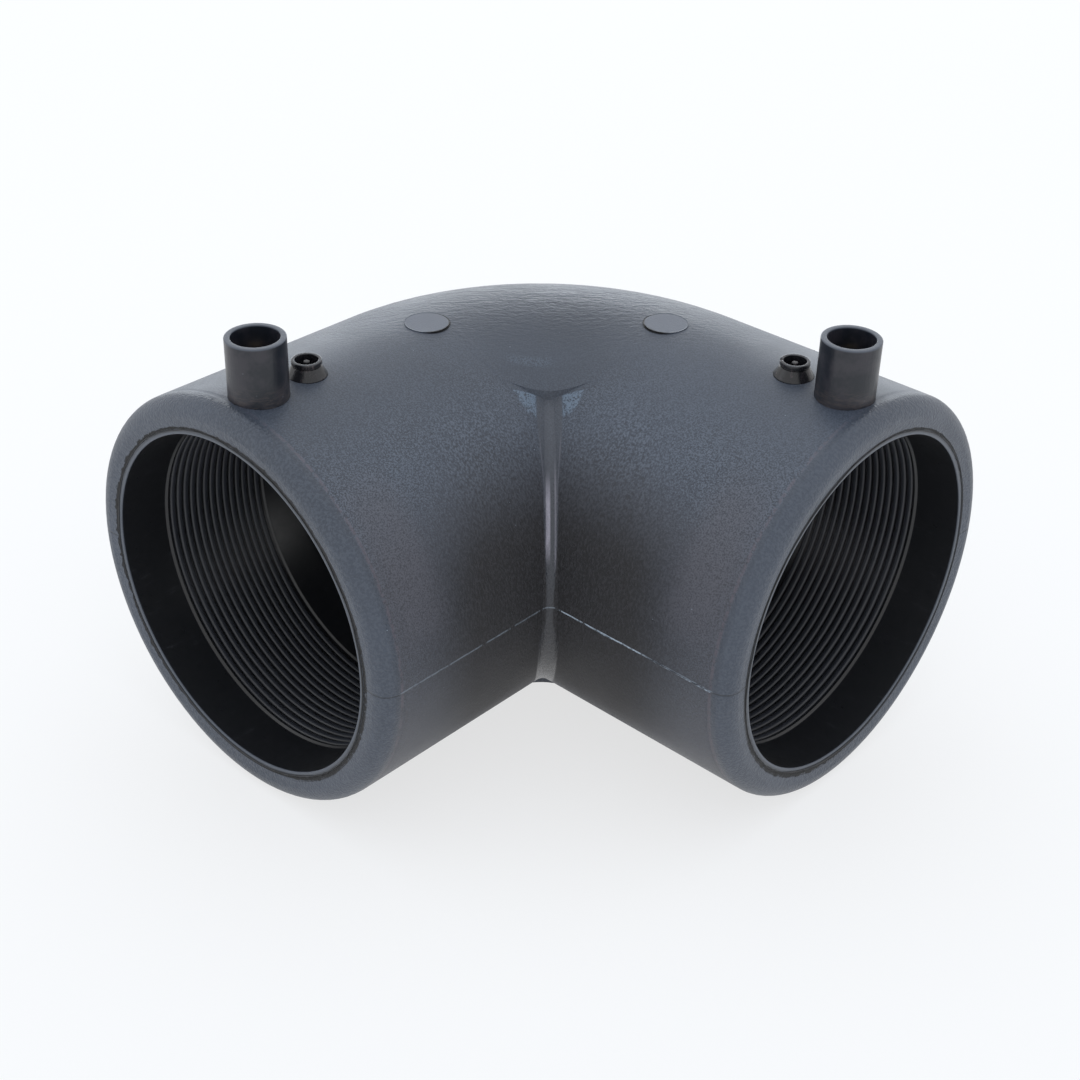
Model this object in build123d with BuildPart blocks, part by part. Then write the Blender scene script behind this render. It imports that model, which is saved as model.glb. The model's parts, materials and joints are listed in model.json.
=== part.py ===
from build123d import *
import math
import os

# Electrofusion elbow, 90 degrees, for pipe of 75 mm outside diameter.
# It lies on its side, as it would on a table: the bend is in a level plane and the terminals point up. The left socket
# opens towards -Y and the right socket towards +X. The origin is under the middle of its outline, on the table.

# Sockets, all in millimetres: the mouth is the end plane of the sleeve, and the stop is what the pipe's end meets
mouth_bore_radius = 38.3
sleeve_wall = 1.2
socket_depth = 50.0
entry_zone = 10.2
stop_height = 4.3
stop_length = 6.5
overmould_gap = 0.05
edge_break = 0.3
in_plane = 0.001

# Body: its wall round the sleeve, and the passage's radius on the inner side of the bend
body_wall = 6.75
throat_radius = 2.4
lip_overhang = 0.35
lip_round = 4.0
crown_foot_from_axis = 10.1
crown_foot_slope = 6.0
crotch_fillet = 2.2

# Gate marks on top of the body, where the bend meets the sockets
gate_mark_radius = 4.8
gate_mark_height = 0.15

# Heating winding: a coated wire that stands out of the sleeve's bore
coil_turns = 14
coil_pitch = 1.85
ridge_gap = 0.35
ridge_height = 0.45
land_width = 1.2
land_height = 0.45

# Wire that joins the two windings inside the wall
link_wire_radius = 0.5
link_wire_height = 1.2
link_corner_from_stop = 1.5

# Terminals
terminal_from_mouth = 10.1
shroud_radius = 6.15
shroud_wall = 1.25
shroud_height = 12.7
shroud_well_depth = 12.5
shroud_floor = 4.0
terminal_pin_radius = 2.0
terminal_foot_step = 0.5
terminal_pin_below_rim = 5.0

# Fusion indicators
indicator_from_mouth = 22.7
indicator_height = 3.3
indicator_bore_radius = 2.2
indicator_collar_wall = 0.95
indicator_collar_height = 0.9
indicator_neck_undercut = 0.35
indicator_neck_height = 0.35
indicator_base_step = 1.05
indicator_stem_step = 0.05
indicator_stem_depth = 3.8
indicator_skirt_depth = 0.7
indicator_floor = 2.0
indicator_pin_radius = 0.75
indicator_pin_below_rim = 0.4

# Worked out from the sizes above
sleeve_radius = mouth_bore_radius + sleeve_wall
sleeve_seat_radius = sleeve_radius + overmould_gap
body_radius = sleeve_seat_radius + body_wall
passage_radius = mouth_bore_radius - stop_height
bend_radius = passage_radius + throat_radius
stop_from_center = bend_radius + stop_length
mouth_to_center = stop_from_center + socket_depth
body_reach = mouth_to_center + lip_overhang
ridge_width = coil_pitch - ridge_gap
coil_length = coil_turns * coil_pitch
coil_start = entry_zone + land_width + ridge_width / 2 + overmould_gap
coil_seat_end = coil_start + coil_length + ridge_width / 2 + overmould_gap
land_radius = mouth_bore_radius - land_height
shroud_bore_radius = shroud_radius - shroud_wall
terminal_foot_radius = terminal_pin_radius + terminal_foot_step
indicator_collar_radius = indicator_bore_radius + indicator_collar_wall
indicator_neck_radius = indicator_collar_radius - indicator_neck_undercut
indicator_base_radius = indicator_collar_radius + indicator_base_step
indicator_stem_radius = indicator_collar_radius + indicator_stem_step
center_offset = (body_reach - body_radius) / 2

bend_center = Vector(-center_offset, center_offset, body_radius)
bend_axis = Axis(bend_center + Vector(bend_radius, -bend_radius, 0), (0, 0, 1))
towards = {"left": Vector(0, -1, 0), "right": Vector(1, 0, 0)}
up = Vector(0, 0, 1)


def section_plane(side):
    """Upright plane through a socket's axis: local x runs out of the socket from the bend centre, local y is up."""
    return Plane(origin=bend_center, x_dir=towards[side], z_dir=towards[side].cross(up))


def across_plane(side, from_center):
    """Plane across a socket's axis, facing out of the mouth, with its local y up."""
    return Plane(
        origin=bend_center + towards[side] * from_center, x_dir=up.cross(towards[side]), z_dir=towards[side]
    )


def level_plane(side, from_center, height):
    """Level plane over a socket's axis, at a height above that axis."""
    return Plane(origin=bend_center + towards[side] * from_center + up * height, x_dir=towards[side], z_dir=up)


def upright_plane(side, from_center):
    """Upright plane through a terminal's or indicator's own axis: local x runs outwards, local y is the height."""
    return Plane(
        origin=bend_center + towards[side] * from_center, x_dir=towards[side], z_dir=towards[side].cross(up)
    )


def upright_axis(side, from_center):
    """A terminal's or indicator's own axis."""
    return Axis(bend_center + towards[side] * from_center, up)


def coil_plane(side):
    """Plane across the bore where the winding starts, facing into the socket, with its local x up."""
    return Plane(
        origin=bend_center + towards[side] * (mouth_to_center - coil_start), x_dir=up, z_dir=-towards[side]
    )


def link_route():
    """Up from the right winding's inner end, across the top of the bend, and down to the left winding's inner end."""
    ends = [bend_center + towards[side] * link_from_center for side in ("right", "left")]
    corners = [bend_center + towards[side] * link_corner_from_center for side in ("right", "left")]
    Polyline(
        ends[0] + up * mouth_bore_radius,
        ends[0] + up * link_wire_level,
        corners[0] + up * link_wire_level,
        corners[1] + up * link_wire_level,
        ends[1] + up * link_wire_level,
        ends[1] + up * mouth_bore_radius,
    )


def finish(part, label):
    """Name a finished piece and write it out."""
    part.label = label
    export_step(part, f"parts/{label}.step")


# Heights above the sockets' axes
shroud_top = body_radius + shroud_height
shroud_floor_top = shroud_top - shroud_well_depth
shroud_foot = shroud_floor_top - shroud_floor
terminal_pin_top = shroud_top - terminal_pin_below_rim
indicator_top = body_radius + indicator_height
indicator_skirt = body_radius - indicator_skirt_depth
indicator_foot = body_radius - indicator_stem_depth
indicator_pin_top = indicator_top - indicator_pin_below_rim
pin_foot = sleeve_radius + overmould_gap
link_wire_level = sleeve_seat_radius + link_wire_height
link_from_center = mouth_to_center - coil_start - coil_length
link_corner_from_center = stop_from_center - link_corner_from_stop
terminal_from_center = mouth_to_center - terminal_from_mouth
indicator_from_center = mouth_to_center - indicator_from_mouth
indicator_neck_level = indicator_top - indicator_collar_height
indicator_floor_level = indicator_foot + indicator_floor
coil_radius = mouth_bore_radius - overmould_gap

# The crown's foot: its height over the axes, and the two slanting planes that cut it, above and below the bend
forward = Vector(1, -1, 0).normalized()
crown_foot_from_center = bend_radius * math.sqrt(2) - crown_foot_from_axis
crown_foot_height = math.sqrt(body_radius**2 - (bend_radius - crown_foot_from_axis) ** 2)
foot_rise = math.sin(math.radians(crown_foot_slope))
foot_run = math.cos(math.radians(crown_foot_slope))
crown_foot_planes = [
    Plane(
        origin=bend_center + forward * crown_foot_from_center + up * side * crown_foot_height,
        z_dir=forward * foot_run + up * side * foot_rise,
    )
    for side in (1, -1)
]
mitre_plane = Plane(origin=bend_center, z_dir=Vector(1, 1, 0).normalized())


os.makedirs("parts", exist_ok=True)

# Crown: the outer side of the bend, down to its crisp foot above and below the crotch
with BuildPart() as crown:
    with BuildSketch(across_plane("right", bend_radius)):
        Circle(body_radius)
        with Locations((-bend_radius - body_radius, 0)):
            Rectangle(2 * body_radius, 2 * body_radius, mode=Mode.SUBTRACT)
    revolve(axis=bend_axis, revolution_arc=90)
    for foot_plane in crown_foot_planes:
        split(bisect_by=foot_plane, keep=Keep.BOTTOM)

# The space behind the crown's foot, between the planes where the bend meets the sockets
with BuildPart() as behind_foot:
    with BuildSketch(Plane(origin=bend_center - up * 2 * body_radius)):
        with Locations((bend_radius, -bend_radius)):
            Rectangle(4 * body_radius, 4 * body_radius, align=(Align.MAX, Align.MIN))
    extrude(amount=4 * body_radius)
    for foot_plane in crown_foot_planes:
        split(bisect_by=foot_plane, keep=Keep.BOTTOM)

# Elbow body, moulded over the sleeves, shrouds, indicators and wires
with BuildPart() as elbow_body:
    # The two sockets run together in a mitre
    for side in towards:
        with BuildSketch(section_plane(side)):
            with BuildLine():
                # The lip is rounded on its outer side and falls gently to the sleeve's end
                round_center = (body_reach - lip_round, body_radius - lip_round)
                lip = CenterArc(round_center, lip_round, 0, 90)
                sleeve_end = (mouth_to_center, sleeve_radius)
                Polyline(lip @ 1, (0, body_radius), (0, 0), (mouth_to_center, 0), sleeve_end, lip @ 0)
            make_face()
        revolve(axis=Axis(bend_center, towards[side]))
    # The crown takes the place of all that lies behind its foot
    add(behind_foot.part, mode=Mode.SUBTRACT)
    corner = [edge for edge in elbow_body.edges() if abs(mitre_plane.to_local_coords(edge.center()).Z) < in_plane]
    fillet(corner, radius=crotch_fillet)
    add(crown.part)
    for side in towards:
        with BuildSketch(level_plane(side, bend_radius, body_radius + gate_mark_height)):
            Circle(gate_mark_radius)
        extrude(amount=-gate_mark_radius)
        with BuildSketch(across_plane(side, body_reach)):
            Circle(sleeve_seat_radius)
        extrude(amount=stop_from_center - body_reach, mode=Mode.SUBTRACT)
        with BuildSketch(across_plane(side, stop_from_center)):
            Circle(passage_radius)
        extrude(amount=bend_radius - stop_from_center, mode=Mode.SUBTRACT)
    with BuildSketch(across_plane("right", bend_radius)):
        Circle(passage_radius)
    revolve(axis=bend_axis, revolution_arc=90, mode=Mode.SUBTRACT)

    # Seats of the terminals and indicators, and the channels that their pins stand in
    for side in towards:
        with BuildSketch(level_plane(side, terminal_from_center, shroud_top)):
            Circle(shroud_radius + overmould_gap)
        extrude(amount=shroud_foot - shroud_top, mode=Mode.SUBTRACT)
        with BuildSketch(level_plane(side, terminal_from_center, shroud_top)):
            Circle(terminal_foot_radius + overmould_gap)
        extrude(amount=-shroud_top, mode=Mode.SUBTRACT)
        with BuildSketch(level_plane(side, indicator_from_center, indicator_top)):
            Circle(indicator_base_radius + overmould_gap)
        extrude(amount=indicator_skirt - indicator_top, mode=Mode.SUBTRACT)
        with BuildSketch(level_plane(side, indicator_from_center, indicator_top)):
            Circle(indicator_stem_radius + overmould_gap)
        extrude(amount=indicator_foot - indicator_top, mode=Mode.SUBTRACT)
        with BuildSketch(level_plane(side, indicator_from_center, indicator_top)):
            Circle(indicator_pin_radius + overmould_gap)
        extrude(amount=-indicator_top, mode=Mode.SUBTRACT)
    # The channel of the link wire
    with BuildLine() as channel_route:
        link_route()
    with BuildSketch(level_plane("right", link_from_center, mouth_bore_radius)):
        Circle(link_wire_radius + overmould_gap)
    sweep(path=channel_route.wires()[0], transition=Transition.RIGHT, mode=Mode.SUBTRACT)
finish(elbow_body.part, "elbow_body")

# Link wire: out through the right sleeve, across the top of the bend and in through the left sleeve
with BuildPart() as link_wire:
    with BuildLine() as wire_route:
        link_route()
    with BuildSketch(level_plane("right", link_from_center, mouth_bore_radius)):
        Circle(link_wire_radius)
    sweep(path=wire_route.wires()[0], transition=Transition.RIGHT)
finish(link_wire.part, "link_wire")

# Winding: the coated wire's turns, whose backs lie on the sleeve's bore, before it is placed in a socket
with BuildPart() as winding:
    with BuildLine() as turns:
        Helix(pitch=coil_pitch, height=coil_length, radius=coil_radius)
    with BuildSketch(Plane(origin=turns.line @ 0, x_dir=(1, 0, 0), z_dir=turns.line % 0)):
        with BuildLine():
            Polyline((0, -ridge_width / 2), (-ridge_height, 0), (0, ridge_width / 2), close=True)
        make_face()
    sweep(path=turns.wires()[0], is_frenet=True)

for side in towards:
    # Sleeve: its bore has a land before the winding and narrows again behind it
    with BuildPart() as sleeve:
        with BuildSketch(across_plane(side, mouth_to_center)):
            Circle(sleeve_radius)
            Circle(land_radius, mode=Mode.SUBTRACT)
        extrude(amount=-socket_depth)
        for zone_start, zone_end in ((0, entry_zone), (entry_zone + land_width, coil_seat_end)):
            with BuildSketch(across_plane(side, mouth_to_center - zone_start)):
                Circle(mouth_bore_radius)
            extrude(amount=zone_start - zone_end, mode=Mode.SUBTRACT)
        with BuildSketch(level_plane(side, link_from_center, 0)):
            Circle(link_wire_radius + overmould_gap)
        extrude(amount=body_radius, mode=Mode.SUBTRACT)
    finish(sleeve.part, f"sleeve_{side}")

    # Heating coil: it starts under the terminal and ends at the link wire
    with BuildPart() as heating_coil:
        with Locations(coil_plane(side)):
            add(winding.part)
    finish(heating_coil.part, f"heating_coil_{side}")

    # Terminal shroud: an open tube with a floor, which the pin passes through
    with BuildPart() as terminal_shroud:
        with BuildSketch(level_plane(side, terminal_from_center, shroud_foot)):
            Circle(shroud_radius)
        extrude(amount=shroud_top - shroud_foot)
        with BuildSketch(level_plane(side, terminal_from_center, shroud_top)):
            Circle(shroud_bore_radius)
        extrude(amount=-shroud_well_depth, mode=Mode.SUBTRACT)
        with BuildSketch(level_plane(side, terminal_from_center, shroud_top)):
            Circle(terminal_foot_radius + overmould_gap)
        extrude(amount=shroud_foot - shroud_top, mode=Mode.SUBTRACT)
        rim = terminal_shroud.faces().sort_by(Axis.Z)[-1]
        chamfer(rim.edges(), length=edge_break)
    finish(terminal_shroud.part, f"terminal_shroud_{side}")

    # Terminal pin: a foot held in the wall, and the welding lead's contact with a chamfered tip
    with BuildPart() as terminal_pin:
        with BuildSketch(level_plane(side, terminal_from_center, pin_foot)):
            Circle(terminal_foot_radius)
        extrude(amount=shroud_floor_top - pin_foot)
        with BuildSketch(level_plane(side, terminal_from_center, shroud_floor_top)):
            Circle(terminal_pin_radius)
        extrude(amount=terminal_pin_top - shroud_floor_top)
        chamfer(terminal_pin.faces().sort_by(Axis.Z)[-1].edges(), length=edge_break)
    finish(terminal_pin.part, f"terminal_pin_{side}")

    # Fusion indicator: a cup with a conical foot, a neck and a collar, and a stem that sits in the body
    with BuildPart() as fusion_indicator:
        with BuildSketch(upright_plane(side, indicator_from_center)):
            with BuildLine():
                Polyline(
                    (indicator_pin_radius + overmould_gap, indicator_foot),
                    (indicator_stem_radius, indicator_foot),
                    (indicator_stem_radius, indicator_skirt),
                    (indicator_base_radius, indicator_skirt),
                    (indicator_base_radius, body_radius),
                    (indicator_collar_radius, indicator_neck_level - indicator_neck_height),
                    (indicator_neck_radius, indicator_neck_level - indicator_neck_height),
                    (indicator_neck_radius, indicator_neck_level),
                    (indicator_collar_radius, indicator_neck_level),
                    (indicator_collar_radius, indicator_top),
                    (indicator_bore_radius, indicator_top),
                    (indicator_bore_radius, indicator_floor_level),
                    (indicator_pin_radius + overmould_gap, indicator_floor_level),
                    close=True,
                )
            make_face()
        revolve(axis=upright_axis(side, indicator_from_center))
    finish(fusion_indicator.part, f"fusion_indicator_{side}")

    # Indicator pin: it rises when the joint has melted
    with BuildPart() as indicator_pin:
        with BuildSketch(level_plane(side, indicator_from_center, pin_foot)):
            Circle(indicator_pin_radius)
        extrude(amount=indicator_pin_top - pin_foot)
        chamfer(indicator_pin.faces().sort_by(Axis.Z)[-1].edges(), length=edge_break)
    finish(indicator_pin.part, f"indicator_pin_{side}")
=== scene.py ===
import json
import math

import bmesh
import bpy
from bpy.props import FloatProperty, FloatVectorProperty, IntProperty, PointerProperty
from bpy.types import Operator, Panel, PropertyGroup
from mathutils import Matrix, Vector


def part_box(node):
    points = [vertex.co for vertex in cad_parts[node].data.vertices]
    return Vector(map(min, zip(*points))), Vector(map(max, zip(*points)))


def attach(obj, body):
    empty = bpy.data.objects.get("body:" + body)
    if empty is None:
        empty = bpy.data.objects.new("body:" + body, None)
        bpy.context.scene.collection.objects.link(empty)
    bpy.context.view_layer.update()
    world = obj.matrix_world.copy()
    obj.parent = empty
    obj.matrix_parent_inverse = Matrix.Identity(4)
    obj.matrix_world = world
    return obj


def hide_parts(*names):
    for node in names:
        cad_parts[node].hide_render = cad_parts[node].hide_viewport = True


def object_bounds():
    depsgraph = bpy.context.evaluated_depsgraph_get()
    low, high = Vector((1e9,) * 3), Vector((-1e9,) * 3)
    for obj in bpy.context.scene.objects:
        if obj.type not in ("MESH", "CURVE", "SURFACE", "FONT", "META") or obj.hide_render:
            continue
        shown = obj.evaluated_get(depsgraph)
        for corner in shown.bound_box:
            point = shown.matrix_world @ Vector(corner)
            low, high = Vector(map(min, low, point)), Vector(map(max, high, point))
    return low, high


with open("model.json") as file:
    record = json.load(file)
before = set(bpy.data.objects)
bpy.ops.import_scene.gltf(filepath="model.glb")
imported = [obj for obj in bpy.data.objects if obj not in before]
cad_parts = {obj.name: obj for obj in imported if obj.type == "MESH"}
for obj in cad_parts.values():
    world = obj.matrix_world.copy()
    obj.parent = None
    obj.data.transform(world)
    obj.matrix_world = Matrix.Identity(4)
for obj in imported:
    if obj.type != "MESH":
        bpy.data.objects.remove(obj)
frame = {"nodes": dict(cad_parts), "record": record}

bl_info = {
    "name": "Electrofusion elbow",
    "version": (1, 0, 0),
    "blender": (4, 5, 0),
    "location": "3D View > Sidebar > Elbow",
    "description": "Finishes, fine pieces and studio for a 90 degree electrofusion elbow",
    "category": "Object",
}

MM = 0.001
CAD_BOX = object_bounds()
MOUNTS = {mount["name"]: mount for mount in frame["record"]["mounts"]}
SIDES = ("left", "right")
UP = Vector((0, 0, 1))

# The sockets: their mouths, the way they point and the point where their axes cross
MOUTH = {side: Vector(MOUNTS[f"{side}_socket"]["pos_m"]) for side in SIDES}
OUTWARD = {side: Vector(MOUNTS[f"{side}_socket"]["axis"]) for side in SIDES}
CENTRE = Vector((MOUTH["left"].x, MOUTH["right"].y, MOUTH["left"].z))
MOUTH_FROM_CENTRE = (MOUTH["right"] - CENTRE).length
BORE = MOUNTS["left_socket"]["dims"]["r_mm"] * MM
ENTRY = MOUNTS["left_socket"]["dims"]["length_mm"] * MM
BODY_RADIUS = CENTRE.z
LIP_FROM_CENTRE = CAD_BOX[1].x - CENTRE.x
LIP_ROUND = 4.0 * MM
BEND_RADIUS = 36.4 * MM
PASSAGE_RADIUS = 34.0 * MM
# The crown's foot: its distance from the centre towards the crotch, its height over the axes, and its slope
FOOT_FORWARD = 41.378 * MM
FOOT_LEVEL = 38.105 * MM
FOOT_SLOPE = math.radians(6.0)
CROTCH_FILLET = 2.2 * MM
# Where the parting line ends, short of the lip's rounding
LINE_END = LIP_FROM_CENTRE - LIP_ROUND - 0.2 * MM
# The body's seat for each sleeve, and how far the raised lands stand into the bore
SEAT_RADIUS = 39.55 * MM
LAND_HEIGHT = 0.45 * MM
PIN_FLOOR = {side: Vector(MOUNTS[f"{side}_terminal"]["pos_m"]) for side in SIDES}
# Depth of a relief of 1, and the angle from which an edge is drawn sharp
RELIEF_UNIT = 0.01 * MM
SHARP_ANGLE = math.radians(38)
WHITE = (1.0, 1.0, 1.0)
# Outside of the body that dust lies on, in square metres
DUSTY_AREA = 0.05
# Each lamp: name, place, width, depth and power in watts
LAMPS = (
    ("lamp_above", (-0.10, 0.10, 0.75), 0.70, 0.70, 0.6),
    ("lamp_behind", (-0.95, 1.05, 0.22), 1.60, 0.45, 5.3),
    ("lamp_left", (-0.55, -0.55, 0.40), 0.40, 0.55, 0.3),
    ("lamp_right", (0.65, 0.40, 0.40), 0.40, 0.55, 0.1),
)
LAMP_COLOUR = (0.84, 0.92, 1.0)
FLOOR_HALF = 4.0


def middle(node):
    """The middle of a node's box, seen from above."""
    low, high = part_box(node)
    return Vector(((low.x + high.x) / 2, (low.y + high.y) / 2, 0))


def half_width(node):
    """Half of a node's width, the radius of a round one that stands up."""
    low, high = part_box(node)
    return (high.x - low.x) / 2


def height(node):
    """The lowest and highest level of a node."""
    low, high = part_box(node)
    return low.z, high.z


# Sizes and colours


def length(name, description, millimetres):
    default = millimetres * MM
    return FloatProperty(name=name, description=description, default=default, unit="LENGTH", precision=5)


def tone(name, description, *rgb):
    return FloatVectorProperty(name=name, description=description, subtype="COLOR", default=rgb, min=0, max=1)


class ElbowSizes(PropertyGroup):
    ring_edge: length("Sleeve edge", "Rounding of the sleeve's end ring", 0.3)
    land_width: length("Land width", "Width of the raised land where the winding starts", 1.2)
    turns: IntProperty(name="Turns", description="Turns of the heating winding", default=14, min=1)
    pitch: length("Pitch", "Distance from one turn to the next", 1.85)
    winding_start: length("First turn", "Distance of the first turn from the mouth", 12.2)
    ridge_width: length("Ridge width", "Width of a turn's ridge", 1.5)
    ridge_height: length("Ridge height", "Height of a turn's ridge over the bore", 0.5)
    seam_width: length("Seam width", "Width of the torn edge round the sleeve", 0.34)
    rim_edge: length("Shroud edge", "Rounding of the shroud's rim", 0.3)
    shroud_wall: length("Shroud wall", "Wall of the shroud", 1.25)
    cup_bore: length("Cup bore", "Radius of the indicator's cup", 2.4)
    flash_width: length("Parting line", "Width of the flash on the parting line", 0.22)
    speck_size: length("Speck size", "Size of the dust specks", 0.16)
    specks: IntProperty(name="Specks", description="Number of dust specks on the body", default=150, min=0)
    seed: IntProperty(name="Seed", description="Seed of what is uneven", default=7, min=0)


class ElbowColours(PropertyGroup):
    body: tone("Body", "Moulded body", 0.048, 0.056, 0.073)
    sparkle: tone("Grain", "Light points of the spark-eroded grain", 0.150, 0.168, 0.198)
    # Painted shade: a brownish black that stands in for the shade in the concave crotch
    crotch_shade: tone("Crotch", "Brownish black near the crotch", 0.014, 0.012, 0.0115)
    bloom: tone("Bloom", "Light patches under the crown", 0.150, 0.190, 0.235)
    sleeve: tone("Sleeve", "Sleeve's bore", 0.0125, 0.0125, 0.0135)
    coil: tone("Winding", "Coated heating wire", 0.023, 0.023, 0.026)
    shroud: tone("Shroud", "Terminal shroud", 0.009, 0.011, 0.0155)
    indicator: tone("Indicator", "Fusion indicator", 0.013, 0.0125, 0.014)
    brass: tone("Contact", "Terminal pin", 0.78, 0.60, 0.32)
    wire: tone("Wire", "Link wire", 0.75, 0.50, 0.33)
    # Also the colour of the painted highlight along the parting line
    flash: tone("Flash", "Whitened flash on the parting line", 0.42, 0.46, 0.50)


class ElbowStudio(PropertyGroup):
    eye: FloatVectorProperty(
        name="Camera", description="Where the camera stands", subtype="XYZ", unit="LENGTH",
        default=(0.22922, -0.25765, 0.26047),
    )
    sight: FloatVectorProperty(
        name="Direction", description="The way the camera looks", subtype="DIRECTION",
        default=(-0.56264, 0.63032, -0.53492),
    )
    roll: FloatProperty(
        name="Roll", description="Turn of the camera about its own line of sight", subtype="ANGLE",
        default=math.radians(1.602),
    )
    lens: FloatProperty(name="Lens", description="Focal length for a sensor of 36 mm", default=60.09, min=1)
    floor: tone("Floor", "Pale floor", 0.96, 0.92, 0.87)
    sky: tone("Surroundings", "Cool soft light from all sides", 0.76, 0.86, 1.0)
    ambient: FloatProperty(name="Ambient", description="Strength of the light from all sides", default=1.08, min=0)
    whiteness: FloatProperty(
        name="Whiteness", description="How far the floor's look is lifted to white", default=0.7, min=0, max=1
    )


# Nodes written as sums


class Signal:
    """What leaves a node. Sums and products of signals add their own maths nodes."""

    def __init__(self, nodes, socket):
        self.nodes = nodes
        self.socket = socket

    def maths(self, operation, *values):
        return self.nodes.node("ShaderNodeMath", {"operation": operation}, dict(enumerate(values)))

    def __add__(self, other):
        return self.maths("ADD", self, other)

    def __radd__(self, other):
        return self.maths("ADD", other, self)

    def __sub__(self, other):
        return self.maths("SUBTRACT", self, other)

    def __rsub__(self, other):
        return self.maths("SUBTRACT", other, self)

    def __mul__(self, other):
        return self.maths("MULTIPLY", self, other)

    def __truediv__(self, other):
        return self.maths("DIVIDE", self, other)

    def __abs__(self):
        return self.maths("ABSOLUTE", self)

    def __pow__(self, power):
        return self.maths("POWER", self, power)

    def root(self):
        return self.maths("SQRT", self)

    def higher(self, other):
        return self.maths("MAXIMUM", self, other)

    def lower(self, other):
        return self.maths("MINIMUM", self, other)

    def step(self, start, end):
        """0 up to start and 1 from end on, smoothly in between."""
        inputs = {"Value": self, "From Min": start, "From Max": end}
        return self.nodes.node("ShaderNodeMapRange", {"interpolation_type": "SMOOTHSTEP"}, inputs)

    def fade(self, start, end):
        """1 up to start and 0 from end on, smoothly in between."""
        return 1 - self.step(start, end)

    def band(self, low, high, soft):
        """1 between low and high and 0 outside."""
        return self.step(low - soft, low) * self.fade(high, high + soft)


class Nodes:
    """A tree of nodes that is being built."""

    def __init__(self, tree):
        self.tree = tree

    def node(self, kind, settings=None, inputs=None, output=0):
        made = self.tree.nodes.new(kind)
        for name, value in (settings or {}).items():
            setattr(made, name, value)
        for name, value in (inputs or {}).items():
            if isinstance(value, Signal):
                self.tree.links.new(value.socket, made.inputs[name])
            elif value is not None:
                made.inputs[name].default_value = value
        return Signal(self, made.outputs[output])

    def shape(self, kind, inputs, settings=None):
        return self.node("GeometryNode" + kind, settings, inputs)

    def seen(self):
        """1 for what the camera sees directly, in a reflection or through glass."""
        path = self.node("ShaderNodeLightPath").socket.node
        kinds = ("Camera", "Glossy", "Transmission")
        camera, glossy, through = (Signal(self, path.outputs[f"Is {kind} Ray"]) for kind in kinds)
        return camera.higher(glossy).higher(through)

    def mix(self, share, first, second):
        inputs = {0: share, 6: paint(first), 7: paint(second)}
        return self.node("ShaderNodeMix", {"data_type": "RGBA"}, inputs, output=2)

    def seeded_noise(self, place, seed, scale, detail):
        """A noise that changes with its seed."""
        inputs = {"Vector": place, "W": seed, "Scale": scale, "Detail": detail}
        return self.node("ShaderNodeTexNoise", {"noise_dimensions": "4D"}, inputs)


class Finish(Nodes):
    """A material on its way: its shader, and what patterns are made of."""

    def __init__(self, name):
        self.material = bpy.data.materials.new(name)
        self.material.use_nodes = True
        super().__init__(self.material.node_tree)
        self.tree.nodes.clear()
        self.place = self.node("ShaderNodeTexCoord", output="Object")

    def split(self, vector):
        apart = self.node("ShaderNodeSeparateXYZ", inputs={0: vector})
        return [Signal(self, socket) for socket in apart.socket.node.outputs]

    def join(self, x, y, z):
        return self.node("ShaderNodeCombineXYZ", inputs={0: x, 1: y, 2: z})

    def noise(self, place, scale, detail=2.0, roughness=0.5, distortion=0.0):
        inputs = {"Vector": place, "Scale": scale, "Detail": detail, "Roughness": roughness}
        return self.node("ShaderNodeTexNoise", inputs={**inputs, "Distortion": distortion})

    def cells(self, place, scale):
        """Distance to the nearest of many scattered points."""
        return self.node("ShaderNodeTexVoronoi", inputs={"Vector": place, "Scale": scale})

    def done(self, colour, roughness, relief, metallic=0.0):
        """Close the material. The relief is a height in hundredths of a millimetre."""
        normal = self.node("ShaderNodeBump", inputs={"Strength": 1.0, "Distance": RELIEF_UNIT, "Height": relief})
        inputs = {"Base Color": colour, "Roughness": roughness, "Metallic": metallic, "Normal": normal}
        self.surface(self.node("ShaderNodeBsdfPrincipled", inputs=inputs))
        return self.material

    def surface(self, shader):
        output = self.tree.nodes.new("ShaderNodeOutputMaterial")
        self.tree.links.new(shader.socket, output.inputs["Surface"])


def paint(colour):
    """A plain colour as a socket takes it; a signal goes through as it is."""
    return colour if isinstance(colour, Signal) else (*tuple(colour)[:3], 1.0)


# Pieces


def rounded(corners, steps=5):
    """The points of a closed outline, from corners of radius, level and rounding."""
    points = []
    count = len(corners)
    for index, (x, y, rounding) in enumerate(corners):
        here = Vector((x, y))
        before = Vector(corners[index - 1][:2])
        after = Vector(corners[(index + 1) % count][:2])
        if rounding <= 0:
            points.append(here)
            continue
        to_before = (before - here).normalized()
        to_after = (after - here).normalized()
        half = to_before.angle(to_after) / 2
        cut = min(rounding / math.tan(half), 0.49 * (before - here).length, 0.49 * (after - here).length)
        start, end = here + to_before * cut, here + to_after * cut
        for step in range(steps + 1):
            t = step / steps
            points.append(start * (1 - t) ** 2 + here * 2 * t * (1 - t) + end * t**2)
    return points


def placed(name, data):
    """A new object in the scene."""
    made = bpy.data.objects.new(name, data)
    bpy.context.scene.collection.objects.link(made)
    return made


def lathe(name, outline, place, steps):
    """A closed outline, or a function of the share of a turn that gives it, turned about an axis and placed."""
    points, faces = [], []
    for step in range(steps):
        angle = 2 * math.pi * step / steps
        spoke = Vector((math.cos(angle), math.sin(angle), 0))
        section = outline(step / steps) if callable(outline) else outline
        rows = len(section)
        points += [place @ (spoke * p.x + UP * p.y) for p in section]
    for step in range(steps):
        for row in range(rows):
            a, b = step * rows + row, step * rows + (row + 1) % rows
            c, d = (step + 1) % steps * rows + (row + 1) % rows, (step + 1) % steps * rows + row
            faces.append((a, b, c, d))
    mesh = bpy.data.meshes.new(name)
    mesh.from_pydata(points, [], faces)
    return settled(name, mesh)


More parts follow.
